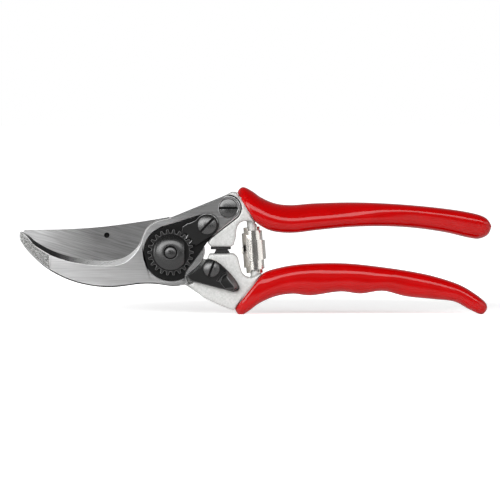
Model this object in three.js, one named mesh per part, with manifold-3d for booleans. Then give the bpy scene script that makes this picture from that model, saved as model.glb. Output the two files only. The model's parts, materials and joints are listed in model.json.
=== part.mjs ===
// Bypass pruner, 215 mm long, as an assembly of named pieces. Millimetres.
//
// The tool is drawn in its own plane: x runs from the blades to the grips, y from the lower handle to the
// upper one, z out of the front, and the pivot axis is x = y = 0. The blades meet at z = 0. At the end the
// whole group is stood up, so that y becomes the part's +Z and the front faces -Y.
import * as THREE from "three";
import { ConvexGeometry } from "three/addons/geometries/ConvexGeometry.js";
import { mergeVertices } from "three/addons/utils/BufferGeometryUtils.js";
import Module from "manifold-3d";

const wasm = await Module();
wasm.setup();

// ---------- driving dimensions ----------
const GAP = 0.15; // between pieces that touch
const SNUG_GAP = 0.1; // between pieces that are turned to fit each other
const SLEEVE_GAP = 0.3; // between a grip and the tang inside it

const BLADE_T = 3.0; // cutting blade
const PLATE_T = 3.6; // counter blade
const BLADE_FRONT = -0.05;
const BLADE_BACK = BLADE_FRONT - BLADE_T;
const PLATE_BACK = 0.05;
const PLATE_FRONT = PLATE_BACK + PLATE_T;

const HEAD_FRONT = BLADE_BACK - GAP; // lower handle's eye, behind the blade
const BODY_BACK = -8.6; // back face of both forgings
const BODY_FRONT = PLATE_FRONT - 0.05; // front face of both forgings

const BOSS_R = 14.3; // round of the cutting blade about the pivot
const EYE_R = 14.6; // lower handle's eye
const UPPER_ARC_R = 15.3; // hollow of the upper forging about the pivot
const HEEL_R = 15.6; // counter blade's heel
const HEEL_STEP_R = 16.2; // its corner, where the catch's nose lies
const LOWER_ARC_R = 16.9; // hollow of the lower forging about the pivot

const BOLT_R = 4.0;
const BOLT_FLAT = 3.3; // half of its width across the two flats
const BOLT_END_R = 2.9;
const BOLT_HEAD_R = 8.0;
const BOLT_HEAD_BACK = -11.3;
const WASHER_T = 0.4;
const BUSH_R = 5.4;

const RECESS_DEPTH = 1.2; // tear-shaped recess in the counter blade
const RECESS_GAP = 0.2; // between the recess's wall and the thrust plate
const THRUST_R = 12.5;
const THRUST_CENTRE = [0.3, -0.4];
const THRUST_TIP_R = 5.0; // round end of the thrust plate
const THRUST_HEEL = [6.8, -8.6]; // its corner by the catch's nose
const SEGMENT_SCREW = [16.6, 12.5];
const BLADE_SCREW = [26.2, 20.1];
const CATCH_SCREW = [18.6, -7.4];
const SHANK_R = 2.0; // of all three screws
const SHANK_BORE_R = 2.15;

const NUT_TEETH = 22;
const NUT_TIP_R = 10.5;
const NUT_ROOT_R = 8.8;
const NUT_BACK = PLATE_FRONT - 0.1;
const NUT_FLANGE_T = 1.9;
const NUT_DOME_R = 8.0;
const NUT_FLAT_X = 6.3;
const NUT_TOP = 8.0;

const CATCH_BACK = PLATE_FRONT + GAP;
const CATCH_T = 2.2;

const GRIP_WALL = 1.5;
const GRIP_CENTRE_Z = -2.3;
const GRIP_HALF_DEPTH = 7.6;

const SPRING_TOP = [37.0, 11.4]; // middle of the spring's upper and lower ends
const SPRING_BOTTOM = [38.5, -9.6];
const STUD_R = 2.3;
const STUD_LENGTH = 5.5;

const DEG = Math.PI / 180;
const polar = (radius, degrees) => [radius * Math.cos(degrees * DEG), radius * Math.sin(degrees * DEG)];

// ---------- solids ----------
const WELD = 1e-4; // points nearer than this are one
const SHORTEST_SIDE = 1e-3; // of an outline
const SHARPEST_MITRE = 0.5; // keeps a corner from being drawn in further than twice the inset

function solidOf(geometry) {
  const bare = new THREE.BufferGeometry().setIndex(geometry.index);
  bare.setAttribute("position", geometry.attributes.position);
  const merged = mergeVertices(bare, WELD);
  const mesh = new wasm.Mesh({
    numProp: 3,
    vertProperties: merged.attributes.position.array,
    triVerts: new Uint32Array(merged.index.array),
  });
  return new wasm.Manifold(mesh);
}

function geometryOf(solid) {
  const mesh = solid.getMesh();
  const geometry = new THREE.BufferGeometry();
  geometry.setAttribute("position", new THREE.BufferAttribute(new Float32Array(mesh.vertProperties), 3));
  geometry.setIndex(new THREE.BufferAttribute(new Uint32Array(mesh.triVerts), 1));
  return geometry;
}

const join = (first, ...others) => others.reduce((whole, piece) => whole.add(piece), first);
const cut = (first, ...others) => others.reduce((whole, piece) => whole.subtract(piece), first);

// A flat shape pushed from z0 to z1.
function plate(shape, z0, z1, curveSegments = 8) {
  const geometry = new THREE.ExtrudeGeometry(shape, { depth: z1 - z0, bevelEnabled: false, curveSegments });
  return solidOf(geometry.translate(0, 0, z0));
}

// A closed outline drawn in by inset(point) all the way round. It runs anticlockwise.
function drawnIn(loop, inset) {
  const count = loop.length;
  const normal = (from, to) => {
    const along = to.clone().sub(from).normalize();
    return new THREE.Vector2(-along.y, along.x);
  };
  return loop.map((point, i) => {
    const before = normal(loop[(i + count - 1) % count], point);
    const middle = normal(point, loop[(i + 1) % count]).add(before).normalize();
    const mitre = Math.max(SHARPEST_MITRE, middle.dot(before));
    return point.clone().addScaledVector(middle, inset(point) / mitre);
  });
}

// A plate whose outline is drawn in by a different amount at each level. A level is [z, inset(point)].
function levelledPlate(outline, levels) {
  const toNext = (point, i) => point.distanceTo(outline[(i + 1) % outline.length]);
  const loop = outline.filter((point, i) => toNext(point, i) > SHORTEST_SIDE);
  if (THREE.ShapeUtils.isClockWise(loop)) loop.reverse();
  const lids = THREE.ShapeUtils.triangulateShape(loop, []);
  const rings = levels.map(([z, inset]) => drawnIn(loop, inset).map(({ x, y }) => [x, y, z]));
  const positions = [];
  const push = (...corners) => corners.forEach((corner) => positions.push(...corner));
  const [back, front] = [rings[0], rings[rings.length - 1]];
  for (const [a, b, c] of lids) push(back[c], back[b], back[a], front[a], front[b], front[c]);
  for (let level = 1; level < rings.length; level++) {
    const [low, high] = [rings[level - 1], rings[level]];
    loop.forEach((_, i) => {
      const j = (i + 1) % loop.length;
      push(low[i], low[j], high[j], low[i], high[j], high[i]);
    });
  }
  const geometry = new THREE.BufferGeometry();
  geometry.setAttribute("position", new THREE.Float32BufferAttribute(positions, 3));
  return solidOf(geometry);
}

// A rounded edge: rise from the face and inset there, as shares of the rounding's size.
const ROUNDING = [
  [0, 1],
  [0.3, 0.3],
  [1, 0],
];

// A plate with its front and back edges rounded off.
function roundedPlate(outline, z0, z1, size) {
  const back = ROUNDING.map(([rise, inset]) => [z0 + rise * size, () => inset * size]);
  const front = ROUNDING.map(([rise, inset]) => [z1 - rise * size, () => inset * size]).reverse();
  return levelledPlate(outline, [...back, ...front]);
}

// A disc, pin or hole about the z direction.
function disc([x, y], radius, z0, z1, segments = 32) {
  const geometry = new THREE.CylinderGeometry(radius, radius, z1 - z0, segments);
  return solidOf(geometry.rotateX(Math.PI / 2).translate(x, y, (z0 + z1) / 2));
}

// A profile of [radius, z] turned about the z direction. It starts and ends on the axis, back to front.
function turned([x, y], profile, segments = 32) {
  const points = profile.map(([radius, z]) => new THREE.Vector2(radius, z));
  const geometry = new THREE.LatheGeometry(points, segments);
  return solidOf(geometry.rotateX(Math.PI / 2).translate(x, y, 0));
}

function block([x, y, z], [width, height, depth], turn = 0) {
  const geometry = new THREE.BoxGeometry(width, height, depth);
  return solidOf(geometry.rotateZ(turn * DEG).translate(x, y, z));
}

const points2 = (list) => list.map(([x, y]) => new THREE.Vector2(x, y));

const shifted = (points, [x, y]) => points.map((p) => new THREE.Vector2(p.x + x, p.y + y));

// A smooth curve through a few points, as a list of points.
function smooth(list, count) {
  return new THREE.SplineCurve(points2(list)).getPoints(count);
}

// A band of even width along a curve.
function band(curve, width) {
  const sides = [1, -1].map((sign) =>
    curve.map((p, i) => {
      const next = curve[Math.min(i + 1, curve.length - 1)];
      const along = next.clone().sub(curve[Math.max(i - 1, 0)]).normalize();
      return new THREE.Vector2(p.x - (sign * along.y * width) / 2, p.y + (sign * along.x * width) / 2);
    }),
  );
  return new THREE.Shape([...sides[0], ...sides[1].reverse()]);
}

// Points of an arc about the pivot, from one angle in degrees to another.
const arcPoints = (radius, from, to, count) =>
  points2(Array.from({ length: count + 1 }, (_, i) => polar(radius, from + ((to - from) * i) / count)));

// ---------- outlines ----------
// Counter blade: the shearing edge, from the hook's tip to the neck.
const HOOK_EDGE = [
  [-67.9, 9.5],
  [-64.6, 7.6],
  [-60.6, 4.4],
  [-53.4, 0.6],
  [-46.0, -1.8],
  [-37.0, -3.4],
  [-27.5, -3.8],
  [-20.5, -1.9],
  [-15.4, 2.2],
  [-12.9, 7.2],
  [-11.0, 11.0],
  [-6.4, 14.4],
  [0.4, 16.0],
];
// Its belly, from the lower corner of the heel back to the tip.
const HOOK_BELLY = [
  [6.6, -15.1],
  [0.5, -15.5],
  [-6.7, -14.6],
  [-14.0, -14.6],
  [-28.6, -16.1],
  [-43.2, -13.8],
  [-55.5, -8.1],
  [-64.1, -0.5],
  [-68.0, 4.6],
  [-68.95, 7.2],
  [-68.6, 9.0],
];
const ARM_END_R = 5.9;
const ARM_ROOT = [18.4, 6.6]; // where the arm's lower side meets the heel
const HEEL = [
  [HEEL_R, 11],
  [HEEL_R, -2],
  [14.5, -22],
  [13.0, -50],
  [12.95, -57],
]; // radius and degrees about the pivot
const HEEL_STEP = [
  [HEEL_STEP_R, -59],
  [HEEL_STEP_R, -64],
];
const SLOPE_WIDTH = 2.3; // of the ground slope along the shearing edge, seen from the front
const SLOPE_LEAST = 0.35; // its width at the tip and past the neck
const SLOPE_RUN_IN = 7; // length at the tip over which it grows to its full width
const SLOPE_RUN_OUT = 9; // length at the neck over which it narrows again
const SLOPE_END_X = -12.5;
const BELLY_LEAN = 0.5; // how far the belly's side leans in, back to front
const ARM_LEAN = 0.3; // the same of the arm and the heel
const ARM_FROM_X = -6;
const TIP_GRIND_X = -54.9; // the hook is ground thinner from here to its tip
const TIP_GRIND_DEGREES = 5.5;
const TIP_GRIND_STEP = 0.15;

function counterBladeLoop() {
  const edge = smooth(HOOK_EDGE, 66);
  const armEnd = shifted(arcPoints(ARM_END_R, 116, -52, 14), BLADE_SCREW);
  const heel = smooth(HEEL.map((corner) => polar(...corner)), 12);
  const step = points2(HEEL_STEP.map((corner) => polar(...corner)));
  return { edge, rest: [...armEnd, ...points2([ARM_ROOT]), ...heel, ...step, ...smooth(HOOK_BELLY, 44)] };
}

// Thrust plate and its recess: a round about the pivot drawn out to a round end about the segment's screw.
function tearShape(wider = 0) {
  const toTip = new THREE.Vector2(...SEGMENT_SCREW).sub(new THREE.Vector2(...THRUST_CENTRE));
  const tangent = (toTip.angle() + Math.acos((THRUST_R - THRUST_TIP_R) / toTip.length())) / DEG;
  const tip = shifted(arcPoints(THRUST_TIP_R + wider, -50, tangent, 14), SEGMENT_SCREW);
  const bowl = shifted(arcPoints(THRUST_R + wider, tangent, 298, 34), THRUST_CENTRE);
  const [heelX, heelY] = THRUST_HEEL;
  return new THREE.Shape([...tip, ...bowl, new THREE.Vector2(heelX + wider / 2, heelY)]);
}

// ---------- steel pieces of the head ----------
// How far the counter blade's side leans in at a point of its outline.
function counterBladeLean(point, edge) {
  if (!edge.some((p) => p.equals(point))) return point.x < ARM_FROM_X ? BELLY_LEAN : ARM_LEAN;
  const runIn = Math.min(1, (point.x - edge[0].x) / SLOPE_RUN_IN);
  const runOut = Math.min(1, Math.max(0, (SLOPE_END_X - point.x) / SLOPE_RUN_OUT));
  return SLOPE_LEAST + (SLOPE_WIDTH - SLOPE_LEAST) * runIn * runOut;
}

function counterBlade() {
  const { edge, rest } = counterBladeLoop();
  const body = levelledPlate([...edge, ...rest], [
    [PLATE_BACK, () => 0],
    [PLATE_FRONT, (point) => counterBladeLean(point, edge)],
  ]);
  const ground = block([-30, 0, 10], [60, 60, 20])
    .rotate([0, -TIP_GRIND_DEGREES, 0])
    .translate([TIP_GRIND_X, 0, PLATE_FRONT - TIP_GRIND_STEP]);
  return cut(
    body,
    ground,
    plate(tearShape(RECESS_GAP), PLATE_FRONT - RECESS_DEPTH, PLATE_FRONT + 1),
    flattedPin(BOLT_R + 0.12, PLATE_BACK - 1, PLATE_FRONT + 1, 0.12),
    disc(BLADE_SCREW, 4.35, PLATE_FRONT - 1.3, PLATE_FRONT + 1),
    disc(BLADE_SCREW, SHANK_BORE_R, PLATE_BACK - 1, PLATE_FRONT),
    disc(SEGMENT_SCREW, SHANK_BORE_R, PLATE_BACK - 1, PLATE_FRONT),
  );
}

// Round pin with two flats, which keys the bolt in the counter blade.
function flattedPin(radius, z0, z1, wider = 0) {
  const flats = block([0, 0, (z0 + z1) / 2], [3 * radius, 2 * (BOLT_FLAT + wider), z1 - z0 + 2]);
  return disc([0, 0], radius, z0, z1).intersect(flats);
}

// Cutting blade: spine and cutting edge, both from the tip.
const BLADE_SPINE = [
  [-66.6, 10.2],
  [-50.5, 10.3],
  [-32.3, 11.4],
  [-14.0, 13.8],
  [-0.6, 16.0],
];
const BLADE_EDGE = [
  [-67.3, 9.0],
  [-62.0, 2.0],
  [-52.0, -4.8],
  [-40.0, -8.9],
  [-28.0, -10.2],
  [-17.0, -9.2],
  [-8.0, -10.0],
];
const BLADE_STATIONS = 44;
const GRIND_WIDTH = 9.5; // of the bevel on the back of the blade
const GRIND_MOST = 0.8; // share of the blade's width that the bevel takes near the tip
const THIN_WIDTH = 0.5; // the blade is thinnest where it is this wide or less
const FULL_WIDTH = 9.5; // and has its full thickness from this width on
const DIMPLE = [-29.1, 7.7]; // blind drilled hole
const DIMPLE_R = 1.2;
const DIMPLE_DEPTH = 1.8;
const DIMPLE_POINT = 0.6;
const KEY_R = 16.4; // distance of the blade's key from the pivot
const KEY_DEGREES = -38;
const KEY_SIZE = [6, 7];
const EDGE_T = 0.25; // thickness left at the cutting edge

function cuttingBlade() {
  const spine = new THREE.SplineCurve(points2(BLADE_SPINE));
  const edge = new THREE.SplineCurve(points2(BLADE_EDGE));
  const sections = Array.from({ length: BLADE_STATIONS + 1 }, (_, i) => {
    const t = i / BLADE_STATIONS;
    const top = spine.getPointAt(t);
    const low = edge.getPointAt(t);
    const width = top.distanceTo(low);
    const grind = low.clone().lerp(top, Math.min(GRIND_MOST, GRIND_WIDTH / width));
    const fullness = Math.min(1, (width - THIN_WIDTH) / (FULL_WIDTH - THIN_WIDTH));
    const back = BLADE_FRONT - EDGE_T - (BLADE_T - EDGE_T) * fullness;
    return [
      [top.x, top.y, BLADE_FRONT],
      [low.x, low.y, BLADE_FRONT],
      [low.x, low.y, BLADE_FRONT - EDGE_T],
      [grind.x, grind.y, back],
      [top.x, top.y, back],
    ];
  });
  const blade = loft(sections);
  const hole = [
    [0, BLADE_FRONT - DIMPLE_DEPTH - DIMPLE_POINT],
    [DIMPLE_R, BLADE_FRONT - DIMPLE_DEPTH],
    [DIMPLE_R, 1],
    [0, 1],
  ];
  return cut(
    join(blade, disc([0, 0], BOSS_R, BLADE_BACK, BLADE_FRONT, 72), bladeKey()),
    disc([0, 0], BOLT_R + SNUG_GAP, BLADE_BACK - 1, 1),
    turned(DIMPLE, hole, 24),
  );
}

// The lug that keys the cutting blade in the lower forging. `wider` makes the room for it.
function bladeKey(wider = 0) {
  const [length, width] = KEY_SIZE;
  const size = [length + 2 * wider, width + 2 * wider, BLADE_T + 2 * wider];
  return block([...polar(KEY_R, KEY_DEGREES), (BLADE_FRONT + BLADE_BACK) / 2], size, KEY_DEGREES);
}

// Closed skin over sections of equal point count. Each section runs the same way round.
function loft(sections) {
  const rings = sections.length;
  const count = sections[0].length;
  const positions = [];
  const push = (...corners) => corners.forEach((corner) => positions.push(...corner));
  for (let i = 0; i < rings - 1; i++) {
    for (let k = 0; k < count; k++) {
      const n = (k + 1) % count;
      const [a, b, c, d] = [sections[i][k], sections[i][n], sections[i + 1][n], sections[i + 1][k]];
      push(a, d, c, a, c, b);
    }
  }
  for (const [ring, flip] of [
    [sections[0], false],
    [sections[rings - 1], true],
  ]) {
    const middle = [0, 1, 2].map((axis) => ring.reduce((sum, p) => sum + p[axis], 0) / count);
    ring.forEach((p, k) => {
      const q = ring[(k + 1) % count];
      push(middle, ...(flip ? [q, p] : [p, q]));
    });
  }
  const geometry = new THREE.BufferGeometry();
  geometry.setAttribute("position", new THREE.Float32BufferAttribute(positions, 3));
  const made = solidOf(geometry);
  if (made.volume() > 0) return made;
  const turnedOver = [];
  for (let i = 0; i < positions.length; i += 9) {
    const [a, b, c] = [0, 3, 6].map((from) => positions.slice(i + from, i + from + 3));
    turnedOver.push(...a, ...c, ...b);
  }
  geometry.setAttribute("position", new THREE.Float32BufferAttribute(turnedOver, 3));
  return solidOf(geometry);
}

// ---------- pivot ----------
function pivotBolt() {
  const head = turned([0, 0], [
    [0, BOLT_HEAD_BACK],
    [BOLT_HEAD_R - 1.3, BOLT_HEAD_BACK],
    [BOLT_HEAD_R - 0.3, BOLT_HEAD_BACK + 0.5],
    [BOLT_HEAD_R, BOLT_HEAD_BACK + 1.1],
    [BOLT_HEAD_R, BODY_BACK - WASHER_T - 0.2],
    [BOLT_R, BODY_BACK - WASHER_T - 0.2],
    [BOLT_R, BLADE_FRONT],
    [0, BLADE_FRONT],
  ], 48);
  const end = turned([0, 0], [
    [0, PLATE_BACK - 1],
    [BOLT_END_R, PLATE_BACK - 1],
    [BOLT_END_R, NUT_TOP - 0.5],
    [BOLT_END_R - 0.5, NUT_TOP + 0.1],
    [1.2, NUT_TOP + 0.4],
    [0, NUT_TOP + 0.45],
  ]);
  return join(head, flattedPin(BOLT_R, PLATE_BACK - 1, PLATE_FRONT - RECESS_DEPTH - SNUG_GAP), end);
}

// A ring about the pivot.
function ring(radius, bore, z0, z1, segments = 40) {
  return cut(disc([0, 0], radius, z0, z1, segments), disc([0, 0], bore, z0 - 1, z1 + 1, segments));
}

const pivotBush = () => ring(BUSH_R, BOLT_R + SNUG_GAP, BODY_BACK + SNUG_GAP, HEAD_FRONT - SNUG_GAP);

function boltWasher() {
  const front = BODY_BACK - SNUG_GAP;
  return ring(BOLT_HEAD_R - 0.4, BOLT_R + GAP, front - WASHER_T, front);
}

function thrustPlate() {
  const back = PLATE_FRONT - RECESS_DEPTH + SNUG_GAP;
  return cut(
    plate(tearShape(), back, NUT_BACK - SNUG_GAP),
    disc([0, 0], BOLT_END_R + 0.2, back - 1, PLATE_FRONT + 1),
    disc(SEGMENT_SCREW, SHANK_BORE_R, back - 1, PLATE_FRONT + 1),
  );
}

// A tooth of the nut and one of the segment: shares of the pitch from the tooth's middle, and radii.
const NUT_PITCH = 360 / NUT_TEETH;
const NUT_TOOTH = [
  [-0.34, NUT_ROOT_R],
  [-0.15, NUT_TIP_R],
  [0.15, NUT_TIP_R],
  [0.34, NUT_ROOT_R],
];
const SEGMENT_TOOTH = [
  [0.3, 11.1],
  [0.1, 9.15],
  [-0.1, 9.15],
  [-0.3, 11.1],
];
const toothPoints = (tooth, middle) =>
  tooth.map(([share, radius]) => polar(radius, middle + share * NUT_PITCH));

// Crown of the nut: its edge rises from the rim and its top falls to a groove round the bolt's end.
const NUT_CROWN = [
  [NUT_DOME_R, 5.75],
  [8.05, 6.05],
  [7.75, 6.4],
  [7.1, 6.85],
  [6.2, 7.3],
  [5.2, 7.7],
  [4.3, 7.92],
  [3.6, NUT_TOP],
  [3.2, NUT_TOP],
  [3.0, NUT_TOP - 0.15],
];

function adjustingNut() {
  const flangeFront = NUT_BACK + NUT_FLANGE_T;
  const teeth = Array.from({ length: NUT_TEETH }, (_, i) => toothPoints(NUT_TOOTH, i * NUT_PITCH));
  const rim = plate(new THREE.Shape(points2(teeth.flat())), NUT_BACK, flangeFront);
  const foot = NUT_BACK + 0.5;
  const dome = turned([0, 0], [[0, foot], [NUT_DOME_R, foot], ...NUT_CROWN, [0, NUT_TOP]], 64);
  const flat = block([NUT_FLAT_X + 5, 0, flangeFront + 5], [10, 20, 10]);
  return cut(join(rim, cut(dome, flat)), disc([0, 0], BOLT_END_R + 0.2, NUT_BACK - 1, NUT_TOP + 1));
}

// Toothed segment: a round end about its screw, a shoulder, and teeth in the gaps of the nut's rim.
const SEGMENT_END_R = 5.2;
const SEGMENT_SHOULDER = [
  [11.4, 14.6],
  [8.6, 13.3],
  [7.8, 13.2],
  [5.5, 11.7],
];
const SEGMENT_FOOT = [11.59, 3.11]; // corner below its last tooth
const SEGMENT_GAPS = [3.5, 2.5, 1.5]; // of the nut's rim, in teeth from its first one

function toothedSegment() {
  const rounded = shifted(arcPoints(SEGMENT_END_R, -62, 132, 16), SEGMENT_SCREW);
  const teeth = SEGMENT_GAPS.flatMap((gap) => toothPoints(SEGMENT_TOOTH, gap * NUT_PITCH));
  const outline = [...rounded, ...points2([...SEGMENT_SHOULDER, ...teeth, SEGMENT_FOOT])];
  const front = NUT_BACK + NUT_FLANGE_T - SNUG_GAP;
  return cut(
    plate(new THREE.Shape(outline), PLATE_FRONT + SNUG_GAP, front),
    disc(SEGMENT_SCREW, SHANK_BORE_R, PLATE_FRONT - 1, front + 1),
  );
}

// ---------- screws ----------
const SLOT_WIDTH = 0.9;
const SLOT_DEPTH = 1.2;
const CROWN_STEPS = 6;
const SLEEVE_SCREW_END = -6.9; // of the two screws that thread into sleeve nuts
const CATCH_SCREW_END = -6.0;

// A round-headed screw with a slot cut at `turn` degrees. Its head runs from `seat` to `top`, the last
// `crown` of it domed, and its shank from the head back to `end`.
function slottedScrew(at, { headR, seat, top, crown, end, turn }) {
  const dome = Array.from({ length: CROWN_STEPS + 1 }, (_, k) => {
    const share = 1 - k / CROWN_STEPS;
    return [headR * share, top - crown * share * share];
  });
  const body = turned(at, [
    [0, end],
    [SHANK_R - 0.4, end],
    [SHANK_R, end + 0.4],
    [SHANK_R, seat],
    [headR, seat],
    ...dome,
  ]);
  return cut(body, block([...at, top], [2 * headR + 1, SLOT_WIDTH, 2 * SLOT_DEPTH], turn));
}

const bladeScrew = () =>
  slottedScrew(BLADE_SCREW, {
    headR: 4.2,
    seat: PLATE_FRONT - 1.2,
    top: PLATE_FRONT + 0.45,
    crown: 0.6,
    end: SLEEVE_SCREW_END,
    turn: 0,
  });
const segmentScrew = () =>
  slottedScrew(SEGMENT_SCREW, {
    headR: 4.25,
    seat: NUT_BACK + NUT_FLANGE_T + 0.05,
    top: 7.4,
    crown: 1.0,
    end: SLEEVE_SCREW_END,
    turn: 46,
  });
const catchScrew = () =>
  slottedScrew(CATCH_SCREW, {
    headR: 3.7,
    seat: CATCH_BACK + CATCH_T + SNUG_GAP,
    top: 7.8,
    crown: 1.0,
    end: CATCH_SCREW_END,
    turn: 70,
  });

// A flanged sleeve with a blind bore, which a screw from the front threads into.
const SLEEVE_R = 2.9;
const SLEEVE_FRONT = -2.2;
const FLANGE_R = 4.0;
const FLANGE_T = 1.0;
const SLEEVE_BACK = BODY_BACK - 0.35;

function sleeveNut(at) {
  const body = turned(at, [
    [0, SLEEVE_BACK],
    [FLANGE_R - 0.6, SLEEVE_BACK],
    [FLANGE_R, BODY_BACK + 0.1],
    [FLANGE_R, BODY_BACK + FLANGE_T],
    [SLEEVE_R, BODY_BACK + FLANGE_T],
    [SLEEVE_R, SLEEVE_FRONT],
    [0, SLEEVE_FRONT],
  ]);
  const slot = block([...at, SLEEVE_BACK], [2 * FLANGE_R + 1, SLOT_WIDTH, SLOT_DEPTH], 20);
  return cut(body, disc(at, SHANK_R + SNUG_GAP, BODY_BACK + 1.4, 0), slot);
}

// Room that a sleeve nut and its screw take in the forging.
const sleeveRoom = (at) =>
  join(
    disc(at, FLANGE_R + 0.2, BODY_BACK - 1, BODY_BACK + FLANGE_T + 0.2),
    disc(at, SLEEVE_R + GAP, BODY_BACK - 1, 1),
  );

// ---------- thumb catch ----------
// Thumb pad: a ridge over a base, and the groove along its upper left side.
const PAD_BASE = [
  [23.4, -11.6],
  [25.9, -9.0],
  [28.2, -11.2],
  [30.4, -14.6],
  [30.4, -16.2],
  [28.6, -17.3],
  [24.8, -16.4],
  [22.6, -13.6],
];
const PAD_RIDGE = [
  [25.5, -10.9],
  [26.0, -12.6],
  [28.5, -15.2],
  [29.1, -16.1],
];
const PAD_SUNK = 0.5; // how deep the pad's base lies in the catch
const PAD_EDGE = 0.2; // height of the pad's rim over the catch
const PAD_RISE = 2.0; // and of its ridge
const PAD_GROOVE = [
  [21.4, -13.2],
  [22.0, -12.1],
  [23.5, -10.4],
  [25.6, -9.2],
];
const PAD_GROOVE_WIDTH = 1.0;
const PAD_GROOVE_DEPTH = 0.7;
const CATCH_OUTLINE = {
  nose: [7.4, -10.9],
  chin: [9.4, -13.0],
  heelLow: [28.6, -18.0],
  back: [
    [30.6, -17.6],
    [31.3, -15.6],
    [28.4, -11.0],
    [24.2, -6.6],
    [20.6, -3.8],
    [17.6, -2.9],
  ],
  hollow: [
    [16.2, -3.2],
    [13.9, -6.4],
    [10.8, -9.0],
  ],
};

function catchOutline() {
  const { nose, chin, heelLow, back, hollow } = CATCH_OUTLINE;
  return [...points2([nose, chin, heelLow]), ...smooth(back, 14), ...smooth([...hollow, nose], 10)];
}

function thumbCatch() {
  const front = CATCH_BACK + CATCH_T;
  const corners = [
    ...PAD_BASE.map(([x, y]) => new THREE.Vector3(x, y, front - PAD_SUNK)),
    ...PAD_BASE.map(([x, y]) => new THREE.Vector3(x, y, front + PAD_EDGE)),
    ...PAD_RIDGE.map(([x, y]) => new THREE.Vector3(x, y, front + PAD_RISE)),
  ];
  const groove = band(smooth(PAD_GROOVE, 10), PAD_GROOVE_WIDTH);
  return cut(
    join(roundedPlate(catchOutline(), CATCH_BACK, front, 0.3), solidOf(new ConvexGeometry(corners))),
    plate(groove, front - PAD_GROOVE_DEPTH, front + PAD_RISE + 1),
    disc(CATCH_SCREW, CATCH_WASHER_R + 0.2, CATCH_BACK - 1, CATCH_BACK + CATCH_WASHER_T, 28),
    disc(CATCH_SCREW, SHANK_BORE_R, CATCH_BACK - 1, front + 1, 28),
  );
}

// A spring washer, dished towards the catch.
const CATCH_WASHER_R = 4.3;
const CATCH_WASHER_T = 0.6; // room that it takes under the catch

function catchWasher() {
  const back = CATCH_BACK - 0.05;
  const front = CATCH_BACK + CATCH_WASHER_T - SNUG_GAP;
  const dished = turned(CATCH_SCREW, [
    [0, back],
    [CATCH_WASHER_R, back],
    [CATCH_WASHER_R, back + 0.3],
    [2.6, front],
    [0, front],
  ]);
  return cut(dished, disc(CATCH_SCREW, SHANK_R + 0.3, back - 1, front + 1));
}

// ---------- grips and the tangs inside them ----------
// Each handle is a ladder: an upper and a lower line in the tool's plane, both from the front of the grip.
const UPPER_GRIP = {
  top: [
    [29.9, 27.6],
    [32.9, 29.6],
    [37.0, 27.8],
    [41.5, 24.7],
    [47.9, 22.1],
    [55.2, 21.4],
    [66.1, 22.2],
    [84.0, 22.6],
    [102.6, 21.9],
    [120.8, 20.3],
    [135.4, 18.2],
    [143.2, 15.8],
    [146.2, 11.9],
  ],
  bottom: [
    [38.8, 13.2],
    [44.3, 10.1],
    [50.0, 8.9],
    [57.0, 8.8],
    [66.1, 9.9],
    [80.7, 11.3],
    [95.3, 11.7],
    [109.9, 11.0],
    [124.4, 9.0],
    [135.4, 6.5],
    [140.5, 6.0],
    [144.6, 8.0],
    [146.2, 11.9],
  ],
};
const LOWER_GRIP = {
  top: [
    [42.0, -9.4],
    [46.6, -7.8],
    [55.2, -6.0],
    [66.1, -5.1],
    [80.7, -5.2],
    [96.0, -6.8],
    [110.0, -8.9],
    [121.0, -11.3],
    [131.7, -14.9],
    [139.0, -19.2],
    [143.4, -23.0],
    [144.3, -25.8],
  ],
  bottom: [
    [28.8, -26.4],
    [31.4, -28.7],
    [34.6, -27.6],
    [40.6, -23.3],
    [47.9, -20.2],
    [55.6, -19.1],
    [64.0, -19.8],
    [77.1, -18.1],
    [86.4, -19.0],
    [96.6, -17.8],
    [107.0, -20.2],
    [119.5, -21.5],
    [129.0, -22.6],
    [136.0, -26.2],
    [141.6, -28.4],
    [144.3, -25.8],
  ],
};

const END_ROUND = 0.07; // share of the length over which a grip's end closes
const LEAST_HALF = 0.4; // least half size of a section
const STRETCH = 100; // how far a section lies in front of the first one, for each unit of share below 0

// A circle's coordinate made that of a superellipse.
const squarer = (share, power) => Math.sign(share) * Math.abs(share) ** power;

// Sections across the ladder. `wall` draws them in, `from` and `to` are shares of the grip's length.
function ladder(lines, { wall, from, to, rungs, sides, power }) {
  const top = new THREE.SplineCurve(points2(lines.top));
  const bottom = new THREE.SplineCurve(points2(lines.bottom));
  const sections = [];
  for (let i = 0; i <= rungs; i++) {
    const t = from + ((to - from) * i) / rungs;
    const along = Math.max(0, Math.min(1, t));
    const a = top.getPointAt(along);
    const b = bottom.getPointAt(along);
    const half = a.clone().sub(b).multiplyScalar(0.5);
    const centre = a.clone().add(b).multiplyScalar(0.5);
    if (t < 0) centre.add(new THREE.Vector2(half.y, -half.x).setLength(t * STRETCH));
    const closing = Math.max(0, (along - 1 + END_ROUND) / END_ROUND);
    const depth = Math.max(LEAST_HALF, GRIP_HALF_DEPTH * Math.sqrt(1 - closing ** 2) - wall);
    half.setLength(Math.max(LEAST_HALF, half.length() - wall));
    sections.push(
      Array.from({ length: sides }, (_, k) => {
        const [out, across] = polar(1, (360 * (k + 0.5)) / sides).map((share) => squarer(share, power));
        return [centre.x + half.x * across, centre.y + half.y * across, GRIP_CENTRE_Z + depth * out];
      }),
    );
  }
  return loft(sections);
}

const SLEEVE = { wall: 0, from: 0, to: 0.995, rungs: 40, sides: 16, power: 0.75 };
const AROUND = { ...SLEEVE, wall: -SLEEVE_GAP, from: -0.004 }; // the room a sleeve takes, with its gap
// The tang and the hollow round it have their rungs in the same places, so that the gap is even.
const TANG = { wall: GRIP_WALL + SLEEVE_GAP, from: -0.02, to: 0.9, rungs: 23, sides: 12, power: 0.75 };
const HOLLOW = { ...TANG, wall: GRIP_WALL, from: -0.06, to: 0.94, rungs: 25 };

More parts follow.
